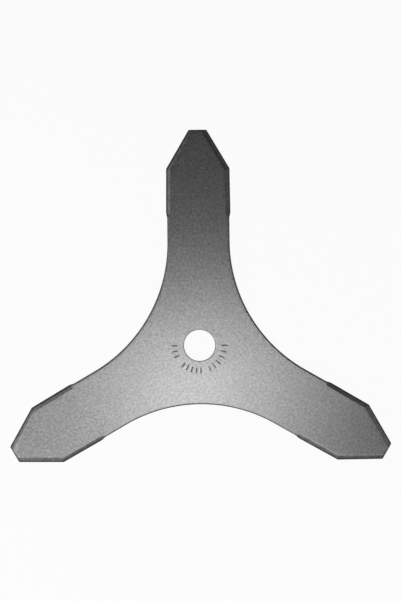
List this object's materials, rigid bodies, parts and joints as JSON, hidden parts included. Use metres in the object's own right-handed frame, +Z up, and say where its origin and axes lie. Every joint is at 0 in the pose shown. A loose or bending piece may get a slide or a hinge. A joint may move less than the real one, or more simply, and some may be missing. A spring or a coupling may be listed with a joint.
{
  "type": "brush cutter blade",
  "caption": "Flat star-shaped steel blade with blunt-tipped arms, edges bevelled on both faces, and a round centre bore for a cutter head.",
  "frame": {"origin": "centre of the bore in the plane of the underside", "axes": "+Z up along the bore's axis through the plate's thickness, +Y along the middle of one arm, +X to its right"},
  "size_m": [0.3096, 0.2688, 0.003],
  "materials": {
    "steel": "bare spring steel, tumbled to a matt mottled grey, with darker rounded rims and finer ground bevels"
  },
  "bodies": {
    "root": {"blade": "steel"}
  },
  "joints": []
}
